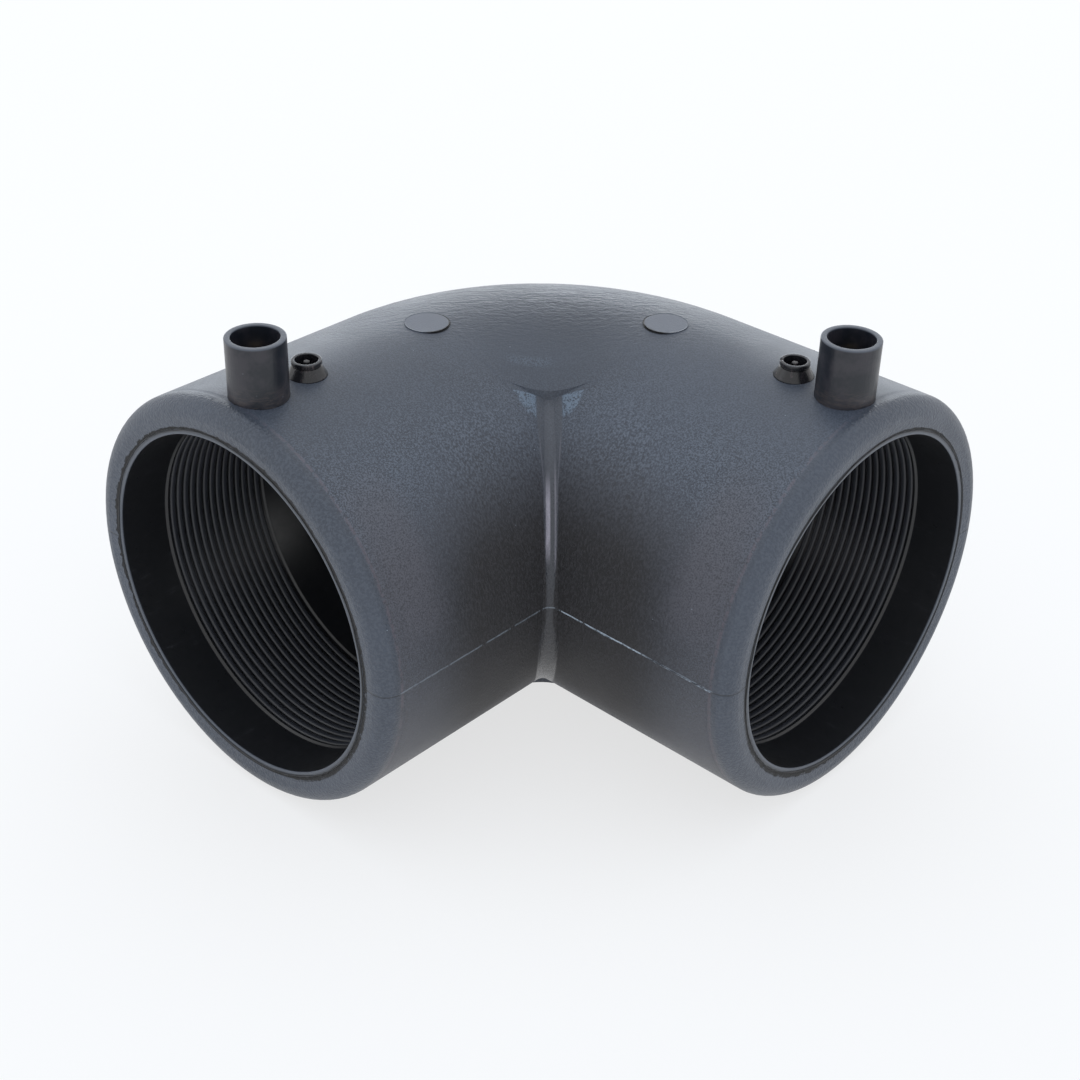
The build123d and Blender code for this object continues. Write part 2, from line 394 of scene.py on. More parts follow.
def settled(name, mesh):
    """A new object in the scene for a mesh, smooth and with its faces turned outwards."""
    work = bmesh.new()
    work.from_mesh(mesh)
    bmesh.ops.remove_doubles(work, verts=work.verts, dist=1e-7)
    bmesh.ops.recalc_face_normals(work, faces=work.faces)
    work.to_mesh(mesh)
    work.free()
    mesh.shade_smooth()
    mesh.set_sharp_from_angle(angle=SHARP_ANGLE)
    return placed(name, mesh)


def dressed(piece, material):
    """Give a piece its only finish."""
    piece.data.materials.clear()
    piece.data.materials.append(material)


def fitted(piece, material, slot, *nodes):
    """Dress a finished piece and fix it to the elbow."""
    dressed(piece, material)
    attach(piece, "root")
    if nodes:
        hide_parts(*nodes)


def node_tree(name, inputs):
    """A tree of geometry nodes, and the signals of its named inputs."""
    tree = bpy.data.node_groups.new(name, "GeometryNodeTree")
    tree.interface.new_socket("Geometry", in_out="INPUT", socket_type="NodeSocketGeometry")
    tree.interface.new_socket("Geometry", in_out="OUTPUT", socket_type="NodeSocketGeometry")
    for label, kind in inputs.items():
        tree.interface.new_socket(label, in_out="INPUT", socket_type=f"NodeSocket{kind}")
    nodes = Nodes(tree)
    entry = nodes.node("NodeGroupInput").socket.node
    return nodes, {socket.name: Signal(nodes, socket) for socket in entry.outputs if socket.name}


def end_tree(nodes, geometry, material):
    """Close a tree: instances made real, material set."""
    real = nodes.shape("RealizeInstances", {0: geometry})
    dyed = nodes.shape("SetMaterial", {"Geometry": real, "Material": material})
    output = nodes.tree.nodes.new("NodeGroupOutput")
    nodes.tree.links.new(dyed.socket, output.inputs[0])


def grown(name, nodes, values, carrier, place=None):
    """Run a tree on a carrier object with these inputs, and give the plain mesh as a new piece."""
    modifier = carrier.modifiers.new(name, "NODES")
    modifier.node_group = nodes.tree
    for item in nodes.tree.interface.items_tree:
        if item.in_out == "INPUT" and item.name in values:
            modifier[item.identifier] = values[item.name]
    graph = bpy.context.evaluated_depsgraph_get()
    mesh = bpy.data.meshes.new_from_object(carrier.evaluated_get(graph), depsgraph=graph)
    carrier.modifiers.remove(modifier)
    bpy.data.objects.remove(carrier)
    if place is not None:
        mesh.transform(place)
    return settled(name, mesh)


def line_carrier(name, points=()):
    """A mesh of one open line through points, for a tree to follow. Without points it is empty."""
    mesh = bpy.data.meshes.new(name)
    mesh.from_pydata(points, [(i, i + 1) for i in range(len(points) - 1)], [])
    return placed(name, mesh)


def socket_matrix(side, from_mouth):
    """From a piece built along +Z, its +X side up, to its place so far inside the mouth."""
    inward = -OUTWARD[side]
    turn = Matrix((UP, inward.cross(UP), inward)).transposed().to_4x4()
    return Matrix.Translation(MOUTH[side] + inward * from_mouth) @ turn


# Finishes


def elbow_ways(f):
    """Where a point lies on the elbow, in millimetres. Both legs share the same numbers."""
    x, y, z = f.split(f.place)
    east = (x - CENTRE.x) * 1000
    south = (CENTRE.y - y) * 1000
    level = (z - CENTRE.z) * 1000
    beside = east.lower(south)
    return {
        "level": level,
        "east": east,
        "south": south,
        "along": east.higher(south),
        "beside": beside,
        "across": (east - south) * math.sqrt(0.5),
        "forward": (east + south) * math.sqrt(0.5),
        "bore": (beside * beside + level * level).root(),
    }


def body_finish(colours):
    """Moulded polyethylene: spark-eroded sockets, satin crown, leathery lip, glossy band in the crotch."""
    f = Finish("moulded_body")
    level, east, south, along, beside, across, forward, bore = elbow_ways(f).values()
    radius = BODY_RADIUS / MM
    mouth = MOUTH_FROM_CENTRE / MM
    lip_start = (LIP_FROM_CENTRE - LIP_ROUND) / MM
    bend = BEND_RADIUS / MM
    passage = PASSAGE_RADIUS / MM
    seat = SEAT_RADIUS / MM
    gate_radius = 4.7

    # Where things are
    lip = along.step(lip_start - 0.3, lip_start + 0.8)
    inner = bore.fade(seat + 0.07, seat + 0.17) * along.step(42.0, 43.0)
    to_axis_x = (bend - east).higher(0.0)
    to_axis_y = (bend - south).higher(0.0)
    tube = (((to_axis_x * to_axis_x + to_axis_y * to_axis_y).root() - bend) ** 2.0 + level * level).root()
    inner = inner.higher(tube.fade(passage + 0.6, passage + 1.4) * along.fade(43.0, 43.5))
    foot = (forward - FOOT_FORWARD / MM) * math.cos(FOOT_SLOPE)
    foot = foot + (abs(level) - FOOT_LEVEL / MM) * math.sin(FOOT_SLOPE)
    rim = foot - (across * across * 0.022).lower(1.5)
    crown = rim.fade(-0.1, 0.1) * along.fade(bend - 9.0, bend + 8.0)
    outside = 1 - inner
    walls = outside * (1 - lip)
    high = (level / radius).step(0.80, 0.99) * outside
    middle_top_shade = abs(across).fade(5.0, 22.0) * forward.band(20.0, 40.0, 12.0) * level.step(20.0, 30.0)
    back = forward.fade(4.0, 27.0)

    # Grain of the tool: coarse and sparkling on the sockets, faint on top, upright streaks near the crotch
    near_crotch = forward.step(42.0, 58.0) * abs(across).fade(14.0, 32.0)
    fine = f.noise(f.place, 3000.0, 2.0, 0.6)
    coarse = f.noise(f.place, 1500.0, 2.0, 0.6)
    upright = f.noise(f.join(east * 2.2, south * 2.2, level * 1.1), 1.0, 2.0, 0.65)
    grain = fine * (1 - near_crotch) + upright * near_crotch
    rough_skin = (1 - high * 0.60) * (1 - lip * 0.85) * (1 - crown * 0.55) * outside

    # Stretched skin of the crown, as cold melt leaves it
    skin = f.noise(f.join(across * 0.20, forward * 0.45, level * 0.45), 1.0, 2.0, 0.6, 0.5)
    leathery = f.noise(f.join(across * 0.5, forward * 1.2, level), 1.0, 2.0, 0.7, 0.4)
    skin_share = back * walls
    whole_top = forward.fade(22.0, 42.0) * walls

    # Gates: flat discs where the bend meets the sockets, with drawn lines from them to the crown's foot
    gate_x, gate_y = along - bend, beside
    gate = (gate_x * gate_x + gate_y * gate_y).root() + level.fade(40.0, 44.0) * 100
    disc = gate.fade(gate_radius - 0.15, gate_radius + 0.15)
    inward = (gate_y * 0.8 - gate_x * 0.6) / gate.higher(0.5)
    # Painted shade: a dark arc on the raised wall of each gate disc, on its side away from the light
    shaded_crescent = gate.band(gate_radius + 0.02, gate_radius + 0.30, 0.16) * inward.step(-0.15, 0.45)
    from_line = along - 33.0 - beside * 0.14
    drawn = beside.band(7.0, 21.0, 4.0) * abs(from_line).fade(0.1, 0.7) * level.step(30.0, 38.0)
    sway = (f.noise(f.join(beside * 0.3, 0.0, 0.0), 0.5, 2.0) - 0.5) * 2.0
    bend_side = (along - bend + sway).fade(-0.4, 0.4) * beside.step(8.0, 19.0) * level.step(28.0, 34.0)
    bend_side = bend_side * rim.fade(-0.1, 0.3)
    frost = (across + 4.0).band(-3.0, 3.0, 3.0) * forward.band(34.6, 35.8, 1.0) * level.step(36.0, 40.0)

    # Band in the crotch with pale lines painted on its glossy fillet as highlights, and the light patches under the
    # crown's foot
    sideways = abs(across)
    half_band = 0.75 + level.step(0.0, 22.0) * 0.8 + level.step(22.0, 36.0) * 1.1 + level.fade(-10.0, -3.0) * 1.3
    in_crotch = (sideways - half_band).fade(-0.2, 0.2) * forward.step(40.0, 42.0) * (1 - crown)
    uneven = f.noise(f.join(across, 0.0, level * 0.25), 1.2, 2.0)
    left_line = (across + 0.55).band(-0.30, 0.20, 0.40) * level.band(15.0, 21.0, 6.0)
    right_line = (across - 0.95).band(-0.08, 0.08, 0.20) * level.band(12.0, 24.0, 5.0) * 0.45
    edge_lines = (sideways - half_band + 0.20).band(-0.06, 0.06, 0.12) * level.band(22.0, 30.0, 3.0) * 0.16
    fillet_highlights = (left_line + right_line + edge_lines) * (0.35 + uneven)
    patch_end = ((8.6 - sideways) * 1.15).lower(4.2) + (coarse - 0.5) * 3.0
    patch = sideways.step(2.6, 3.0) * (foot - patch_end).fade(-0.5, 0.5) * sideways.fade(7.4, 8.6)
    patch = patch * rim.step(0.0, 0.15) * level.step(28.0, 31.0) * (coarse * 0.8 + fine * 0.6).step(0.50, 0.76)

    # Parting line on the level of the axes, and the torn edge where the body meets the sleeve
    wander = (f.noise(f.join(along, beside, 0.0), 0.35, 2.0) - 0.5) * 0.35
    broken = f.noise(f.join(east, south, 3.0), 0.55, 3.0, 0.7)
    line_gap = abs(level + wander)
    parting = line_gap.fade(0.06, 0.30) * broken.step(0.30, 0.55) * walls
    crack = line_gap.fade(0.05, 0.20) * lip * outside
    torn_up = across.band(3.0, 17.0, 2.0) * beside.step(30.0, 38.0)
    # Painted highlight: a pale line just above the parting line, where the top of the flash catches the light
    lit_line = (level + wander - 0.16).band(-0.12, 0.12, 0.12) * broken.step(0.34, 0.52)
    lit_line = lit_line * walls * (0.30 + torn_up * 0.70)
    angle_noise = f.noise(f.join(east * 0.5, south * 0.5, level * 0.5), 0.9, 3.0, 0.7)
    patchy = f.noise(f.place, 22.0, 1.0)
    crotch_side = beside.step(-8.0, 24.0)
    torn_width = seat + 0.25 + crotch_side * 0.14 + (angle_noise - 0.36) * 2.4 * patchy.step(0.36, 0.62)
    torn = (bore - torn_width).fade(-0.04, 0.10)
    second = (bore - (seat + 0.80) - (angle_noise - 0.5) * 0.8).band(-0.06, 0.06, 0.10)
    second = second * crotch_side * patchy.step(0.40, 0.55)
    torn = torn.higher(second * 0.8) * along.step(mouth - 0.6, mouth - 0.3)
    worn = f.noise(f.place, 900.0, 2.0).step(0.38, 0.55)
    crease = along.band(lip_start - 0.45, lip_start - 0.1, 0.35) * worn * beside.step(-5.0, 25.0)
    leather = f.noise(f.place, 1700.0, 2.0, 0.65)

    # Tints
    brown, pinkish, streaks = (0.047, 0.040, 0.043), (0.100, 0.092, 0.102), (0.044, 0.038, 0.040)
    gate_mark, lip_light, crease_light = (0.094, 0.104, 0.128), (0.080, 0.090, 0.108), (0.115, 0.092, 0.105)
    band_grey, band_highlight, black = (0.060, 0.063, 0.073), (0.330, 0.295, 0.320), (0.006, 0.006, 0.007)

    def body(share):
        """The body's colour, darker or lighter."""
        return tuple(c * share for c in colours.body)

    # Colour
    cloud = f.noise(f.place, 28.0, 2.0, 0.55)
    # Painted shade near the crotch, darker and more brownish, with lighter upright streaks in it
    shade = near_crotch * level.band(-20.0, 16.0, 22.0)
    # Painted shade: the lower sides of the legs turn darker and more brownish, away from the cool light above
    brownish = beside.step(12.0, 40.0) * level.band(-30.0, 20.0, 18.0) * walls
    tint = along.band(80.0, 84.0, 8.0) * beside.step(8.0, 34.0) * level.band(14.0, 32.0, 10.0) * (1 - lip)
    hollow_shade = along.band(lip_start + 0.5, lip_start + 1.0, 0.6)
    colour = f.mix(cloud.step(0.30, 0.72), body(0.88), body(1.12))
    for share, layer in (
        (grain.step(0.44, 0.64) * rough_skin * 0.62, colours.sparkle),
        (grain.fade(0.34, 0.47) * rough_skin * 0.60, body(0.35)),
        (shade * 0.90, colours.crotch_shade),
        # Painted shade on the lower sides
        (brownish * (1 - shade) * 0.50, brown),
        (tint * grain.step(0.30, 0.62) * 0.62, pinkish),
        (shade * upright.step(0.48, 0.62) * 0.40, streaks),
        # Painted shade on the middle of the crown's top, which reflects less of the surroundings
        (middle_top_shade * 0.25, body(0.7)),
        (disc * 0.7, gate_mark),
        (patch * 0.80, colours.bloom),
        (frost * grain.step(0.42, 0.62) * 0.25, colours.bloom),
        # Painted shade along the crown's foot
        (crown * forward.band(37.5, 42.0, 3.5) * 0.16, body(0.5)),
        (lip * outside * leather.step(0.46, 0.58) * 0.60, lip_light),
        # Painted shade in the dip where the lip's rounding begins
        (hollow_shade * 0.18, body(0.5)),
        (crease * 0.55, crease_light),
        (in_crotch * (0.25 + level.step(-4.0, 16.0) * 0.45), band_grey),
        ((fillet_highlights * in_crotch).lower(1.0), band_highlight),
        (parting * 0.60, body(0.25)),
        (lit_line, colours.flash),
        # Black: painted shade on the gate discs' walls, together with the dark crack on the lip and the torn edge
        ((shaded_crescent + crack * 0.7 + torn).lower(1.0), black),
        # Painted shade: inside the body the passage takes the sleeve's colour darkened, for the shade deep in the bore
        (inner, tuple(c * 0.7 for c in colours.sleeve)),
    ):
        colour = f.mix(share, colour, layer)

    # Roughness
    smear = f.noise(f.place, 70.0, 2.0, 0.6)
    roughness = 0.44 + (smear - 0.5) * 0.16 + rough_skin * (grain - 0.5) * 0.35 - crown * 0.03
    roughness = roughness - lip * 0.05 - in_crotch * 0.12 - disc * 0.06
    roughness = roughness + torn * 0.3 + shade * (1 - in_crotch) * 0.22
    roughness = roughness * outside + inner * (0.42 + (smear - 0.5) * 0.2)

    # Relief
    relief = grain * rough_skin * 15.0 + (skin * skin_share * 45.0 + leathery * whole_top * 26.0) * (1 - disc)
    relief = relief + leather * lip * outside * 26.0
    relief = relief - shaded_crescent * 9.0 - crack * 5.0 + parting * 5.0 - torn * (angle_noise * 14.0 + 3.0)
    groove = along.band(lip_start - 0.5, lip_start + 0.3, 1.1) * outside
    relief = relief + crease * 1.5 + patch * fine * 3.0 + bend_side * 9.0 + drawn * 2.5 - groove * 9.0
    return f.done(colour, roughness, relief)


def sleeve_finish(colours):
    """Smooth black polyethylene: a lighter end ring with a painted highlight on its inner edge, near-black bore with
    faint scuffs along it.
    """
    f = Finish("sleeve_plastic")
    w = elbow_ways(f)
    along, bore, level = w["along"], w["bore"], w["level"]
    mouth = MOUTH_FROM_CENTRE / MM
    ring = along.step(mouth - 0.45, mouth - 0.15)
    lengthwise = f.noise(f.join(w["east"] * 0.9, w["south"] * 0.9, level * 1.2), 0.8, 4.0, 0.65)
    scuff = f.noise(f.join(along * 0.12, w["beside"], level), 0.8, 4.0, 0.7)
    rubbed = (scuff - 0.58).step(0.0, 0.14) * lengthwise.step(0.35, 0.65)
    turned = f.noise(f.join(along, 0.0, 0.0), 2.4, 3.0, 0.6)
    # Painted highlight on the rounded inner edge of the end ring
    edge = along.step(mouth - 0.35, mouth - 0.05) * bore.band(38.25, 38.75, 0.15)
    colour = f.mix(rubbed * 0.55, colours.sleeve, (0.036, 0.036, 0.040))
    colour = f.mix(ring, colour, (0.046, 0.051, 0.061))
    colour = f.mix(edge * 0.5, colour, (0.110, 0.120, 0.140))
    nibbled = bore.step(39.05, 39.45) * lengthwise.step(0.44, 0.60) * ring
    colour = f.mix(nibbled * 0.6, colour, (0.010, 0.010, 0.011))
    roughness = 0.32 + (lengthwise - 0.5) * 0.22 + rubbed * 0.15 + ring * 0.08
    relief = lengthwise * 1.2 + scuff * 0.8 + turned * 0.5 - nibbled * 12.0
    relief = relief + ring * f.noise(f.place, 900.0) * 2.0
    return f.done(colour, roughness, relief)


def winding_finish(colours):
    """Coated heating wire: a painted soft sheen on the ridges' crests, a little uneven along the turns."""
    f = Finish("coated_wire")
    w = elbow_ways(f)
    cloud = f.noise(f.place, 60.0, 3.0, 0.6)
    # Painted sheen: the crests of the ridges are painted lighter
    crest = w["bore"].fade(37.75, 38.2)
    colour = f.mix(crest * (0.30 + cloud * 0.5), colours.coil, (0.040, 0.041, 0.047))
    roughness = 0.34 + (cloud - 0.5) * 0.2
    relief = f.noise(f.place, 420.0, 3.0, 0.6) * 2.2 + f.noise(f.place, 1900.0) * 0.5
    return f.done(colour, roughness, relief)


def torn_finish():
    """Torn thin edge of the overmoulding."""
    f = Finish("torn_edge")
    cloud = f.noise(f.place, 500.0, 3.0, 0.7)
    colour = f.mix(cloud.step(0.35, 0.75), (0.005, 0.005, 0.006), (0.022, 0.023, 0.027))
    return f.done(colour, 0.5 + (cloud - 0.5) * 0.4, cloud * 5.0)


def shroud_finish(colours):
    """Satin brownish black with upright marks, reddish streaks near the foot painted as a reflection, and a lighter
    rim.
    """
    f = Finish("shroud_plastic")
    x, y, z = f.split(f.place)
    top = height("terminal_shroud_left")[1]
    down = (top - z) * 1000
    fine = f.noise(f.join(x * 1000, y * 1000, z * 160), 1.5, 4.0, 0.65)
    level_streaks = f.noise(f.join(x * 200, y * 200, z * 1000), 2.2, 3.0, 0.7)
    low = down.step(7.5, 11.5)
    cloud = f.noise(f.place, 190.0, 3.0, 0.6)
    rim = down.fade(0.05, 0.45)
    well_floor = down.step(3.0, 9.0)
    colour = f.mix(cloud.step(0.40, 0.64) * 0.8, colours.shroud, (0.032, 0.028, 0.033))
    # Painted reflection: reddish streaks near the foot
    colour = f.mix(low * level_streaks.step(0.42, 0.66) * 0.6, colour, (0.062, 0.047, 0.043))
    colour = f.mix(rim * 0.85, colour, (0.092, 0.100, 0.118))
    stray = f.noise(f.place, 150.0, 1.0).step(0.50, 0.60)
    dots = f.cells(f.place, 420.0).fade(0.05, 0.11) * stray
    colour = f.mix(dots * 0.5, colour, (0.120, 0.125, 0.140))
    roughness = 0.31 + (fine - 0.5) * 0.16 + low * 0.06 + rim * 0.06 + well_floor * 0.02
    relief = fine * 4.0 + level_streaks * low * 4.5 + cloud * 5.0 + dots * 3.0
    return f.done(colour, roughness, relief)


def indicator_finish(colours):
    """Gloss black with reddish-brown upright streaks round the cone, which are painted reflections, and a painted
    highlight on the brim.
    """
    f = Finish("indicator_plastic")
    x, y, z = f.split(f.place)
    # Upright streaks round the cone, painted in reddish brown as reflections
    cone_streaks = f.noise(f.join(x * 1000, y * 1000, z * 300), 0.9, 3.0, 0.6, 1.2)
    fine = f.noise(f.place, 1500.0)
    colour = f.mix(cone_streaks.step(0.54, 0.74) * 0.75, colours.indicator, (0.075, 0.052, 0.054))
    roughness = 0.24 + (cone_streaks - 0.5) * 0.18
    top = height("fusion_indicator_left")[1]
    down = (top - z) * 1000
    cone = down.step(1.3, 1.6)
    # Painted highlight along the edge of the brim
    brim = down.fade(0.04, 0.16) * (1 - f.noise(f.place, 700.0, 2.0).step(0.50, 0.62) * 0.6)
    colour = f.mix(brim * 0.55, colour, (0.060, 0.064, 0.074))
    return f.done(colour, roughness, cone_streaks * (0.8 + cone * 4.0) + fine * 0.8)


def pin_finish(name, colour, level_lines=True):
    """Brass with turned lines and a trace of tarnish."""
    f = Finish(name)
    x, y, z = f.split(f.place)
    turned = f.noise(f.join(0.0, 0.0, z * 1000), 7.0, 3.0, 0.7) if level_lines else f.noise(f.place, 900.0)
    tarnish = f.noise(f.place, 420.0, 3.0, 0.6)
    dull = tuple(c * 0.55 for c in colour)
    shade = f.mix(tarnish.step(0.42, 0.75) * 0.6, tuple(colour), dull)
    roughness = 0.24 + (turned - 0.5) * 0.2 + tarnish.step(0.5, 0.8) * 0.2
    return f.done(shade, roughness, turned + tarnish * 0.6, metallic=1.0)


def flash_finish(colours):
    """Thin flash on the parting line, whitened where it was bent; its pale colour is also partly a painted highlight.
    """
    f = Finish("parting_flash")
    cloud = f.noise(f.place, 260.0, 3.0, 0.7)
    colour = f.mix(cloud.step(0.44, 0.62), (0.040, 0.044, 0.052), colours.flash)
    return f.done(colour, 0.42 + (cloud - 0.5) * 0.2, cloud * 4.0)


def speck_finish():
    """Dust: mostly pale, some dark."""
    f = Finish("dust")
    cloud = f.noise(f.place, 90.0, 0.0)
    colour = f.mix(cloud.step(0.46, 0.50), (0.012, 0.012, 0.014), (0.30, 0.33, 0.37))
    return f.done(colour, 0.55 + (cloud - 0.5) * 0.2, f.noise(f.place, 4000.0) * 1.5)


# Operators


class ElbowStep:
    """One step of the work. Each operator says in build what it adds."""

    def execute(self, context):
        self.build(context.scene)
        return {"FINISHED"}


class ELBOW_OT_body(ElbowStep, Operator):
    """Finish of the moulded body"""

    bl_idname = "elbow.body"
    bl_label = "Moulded body"

    def build(self, scene):
        dressed(frame["nodes"]["elbow_body"], body_finish(scene.elbow_colours))


class ELBOW_OT_metal(ElbowStep, Operator):
    """Finish of the terminal pins and of the link wire in the wall"""

    bl_idname = "elbow.metal"
    bl_label = "Pins and link wire"

    def build(self, scene):
        colours = scene.elbow_colours
        turned = pin_finish("turned_brass", colours.brass)
        for side in SIDES:
            dressed(frame["nodes"][f"terminal_pin_{side}"], turned)
        dressed(frame["nodes"]["link_wire"], pin_finish("drawn_wire", colours.wire, level_lines=False))


class ELBOW_OT_sleeves(ElbowStep, Operator):
    """Sleeve in each socket, with its rounded end ring and its raised lands"""

    bl_idname = "elbow.sleeves"
    bl_label = "Sleeves"

    def build(self, scene):
        sizes = scene.elbow_sizes
        low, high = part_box("sleeve_left")
        outer = half_width("sleeve_left")
        depth = high.y - low.y
        land = BORE - LAND_HEIGHT
        winding_end = sizes.winding_start + sizes.turns * sizes.pitch + sizes.ridge_width / 2
        edge = sizes.ring_edge

        def outline(share):
            """The land before the winding widens along the first turn, up to its ridge."""
            land_end = ENTRY + sizes.land_width + share * sizes.pitch * 0.9
            land_start = land_end - 0.75 * MM
            return rounded(
                [
                    (BORE, 0.0, edge),
                    (BORE, land_start - 0.3 * MM, 0.4 * MM),
                    (land, land_start + 0.2 * MM, 0.2 * MM),
                    (land, land_end - 0.2 * MM, 0.15 * MM),
                    (BORE, land_end, 0.1 * MM),
                    (BORE, winding_end, 0.2 * MM),
                    (land, winding_end + 0.5 * MM, 0.3 * MM),
                    (land, depth, 0.2 * MM),
                    (outer, depth, 0.0),
                    (outer, 0.0, edge * 0.5),
                ]
            )

        material = sleeve_finish(scene.elbow_colours)
        for side in SIDES:
            sleeve = lathe(f"sleeve_fine_{side}", outline, socket_matrix(side, 0.0), 320)
            fitted(sleeve, material, "sleeve", f"sleeve_{side}")


class ELBOW_OT_windings(ElbowStep, Operator):
    """Heating winding in each sleeve: a coated wire that stands out of the bore in even turns"""

    bl_idname = "elbow.windings"
    bl_label = "Windings"

    def build(self, scene):
        sizes = scene.elbow_sizes
        lengths = ("Radius", "Turns", "Length", "Ridge Width", "Ridge Height", "Wander")
        nodes, put = node_tree("winding", {**dict.fromkeys(lengths, "Float"), "Material": "Material"})
        spiral_inputs = {
            "Resolution": 150, "Rotations": put["Turns"], "Height": put["Length"],
            "Start Radius": put["Radius"], "End Radius": put["Radius"], "Reverse": True,
        }
        spiral = nodes.shape("CurveSpiral", spiral_inputs)
        place = nodes.shape("InputPosition", {})
        sway = nodes.node("ShaderNodeTexNoise", inputs={"Vector": place, "Scale": 45.0, "Detail": 1.0})
        shift = nodes.node("ShaderNodeCombineXYZ", inputs={2: (sway - 0.5) * put["Wander"]})
        wound = nodes.shape("SetPosition", {"Geometry": spiral, "Offset": shift})
        upright = nodes.shape("SetCurveNormal", {0: wound}, {"mode": "Z_UP"})
        circle = nodes.shape("CurvePrimitiveCircle", {"Resolution": 12, "Radius": 1.0})
        size = nodes.node("ShaderNodeCombineXYZ", inputs={0: put["Ridge Height"], 1: put["Ridge Width"] * 0.5, 2: 1.0})
        section = nodes.shape("Transform", {"Geometry": circle, "Scale": size})
        wire = nodes.shape("CurveToMesh", {"Curve": upright, "Profile Curve": section, "Fill Caps": True})
        end_tree(nodes, wire, put["Material"])
        values = {
            "Radius": BORE - 0.03 * MM, "Turns": float(sizes.turns), "Length": sizes.turns * sizes.pitch,
            "Ridge Width": sizes.ridge_width, "Ridge Height": sizes.ridge_height, "Wander": 0.25 * MM,
            "Material": winding_finish(scene.elbow_colours),
        }
        for side in SIDES:
            place_in = socket_matrix(side, sizes.winding_start)
            winding = grown(f"winding_{side}", nodes, values, line_carrier(f"winding_start_{side}"), place_in)
            fitted(winding, values["Material"], "coil", f"heating_coil_{side}")


class ELBOW_OT_torn_edges(ElbowStep, Operator):
    """Torn edge of the overmoulding round each sleeve's end ring"""

    bl_idname = "elbow.torn_edges"
    bl_label = "Torn edges"

    def build(self, scene):
        sizes = scene.elbow_sizes
        inputs = {"Radius": "Float", "Width": "Float", "Ragged": "Float", "Seed": "Int", "Material": "Material"}
        nodes, put = node_tree("torn_edge", inputs)
        ring = nodes.shape("CurvePrimitiveCircle", {"Resolution": 900, "Radius": put["Radius"]})
        place = nodes.shape("InputPosition", {})
        fine = nodes.seeded_noise(place, put["Seed"], 420.0, 3.0)
        wide = nodes.seeded_noise(place, put["Seed"] + 9, 38.0, 2.0)
        spoke = nodes.node("ShaderNodeVectorMath", {"operation": "NORMALIZE"}, {0: place})
        reach = (fine - 0.5) * put["Ragged"] - wide.step(0.40, 0.66) * put["Ragged"] * 0.9
        shift = nodes.node("ShaderNodeVectorMath", {"operation": "SCALE"}, {0: spoke, "Scale": reach})
        bent = nodes.shape("SetPosition", {"Geometry": ring, "Offset": shift})
        thick = put["Width"] * (0.25 + wide.step(0.38, 0.66) * 0.75) * (0.5 + fine)
        sized = nodes.shape("SetCurveRadius", {"Curve": bent, "Radius": thick * 1000})
        upright = nodes.shape("SetCurveNormal", {0: sized}, {"mode": "Z_UP"})
        circle = nodes.shape("CurvePrimitiveCircle", {"Resolution": 6, "Radius": 0.5 * MM})
        sweep = {"Curve": upright, "Profile Curve": circle, "Scale": thick * 1000}
        edge = nodes.shape("CurveToMesh", sweep)
        end_tree(nodes, edge, put["Material"])
        material = torn_finish()
        outer = half_width("sleeve_left")
        for index, side in enumerate(SIDES):
            values = {
                "Radius": outer - 0.02 * MM, "Width": sizes.seam_width, "Ragged": 0.34 * MM,
                "Seed": sizes.seed + index, "Material": material,
            }
            place_in = socket_matrix(side, -0.06 * MM)
            torn = grown(f"torn_edge_{side}", nodes, values, line_carrier(f"torn_start_{side}"), place_in)
            fitted(torn, material, "body")


class ELBOW_OT_shrouds(ElbowStep, Operator):
    """Tube round each terminal, with a rounded rim and a floor"""

    bl_idname = "elbow.shrouds"
    bl_label = "Terminal shrouds"

    def build(self, scene):
        sizes = scene.elbow_sizes
        material = shroud_finish(scene.elbow_colours)
        for side in SIDES:
            node = f"terminal_shroud_{side}"
            low, high = height(node)
            outer = half_width(node)
            inner = outer - sizes.shroud_wall
            floor, hole, edge = PIN_FLOOR[side].z, 2.55 * MM, sizes.rim_edge
            outline = rounded(
                [
                    (outer, low, 0.0),
                    (outer, high, edge),
                    (inner, high, edge * 0.8),
                    (inner, floor, 0.5 * MM),
                    (hole, floor, 0.1 * MM),
                    (hole, low, 0.0),
                ]
            )
            shroud = lathe(f"shroud_{side}", outline, Matrix.Translation(middle(node)), 160)
            fitted(shroud, material, "shroud", node)


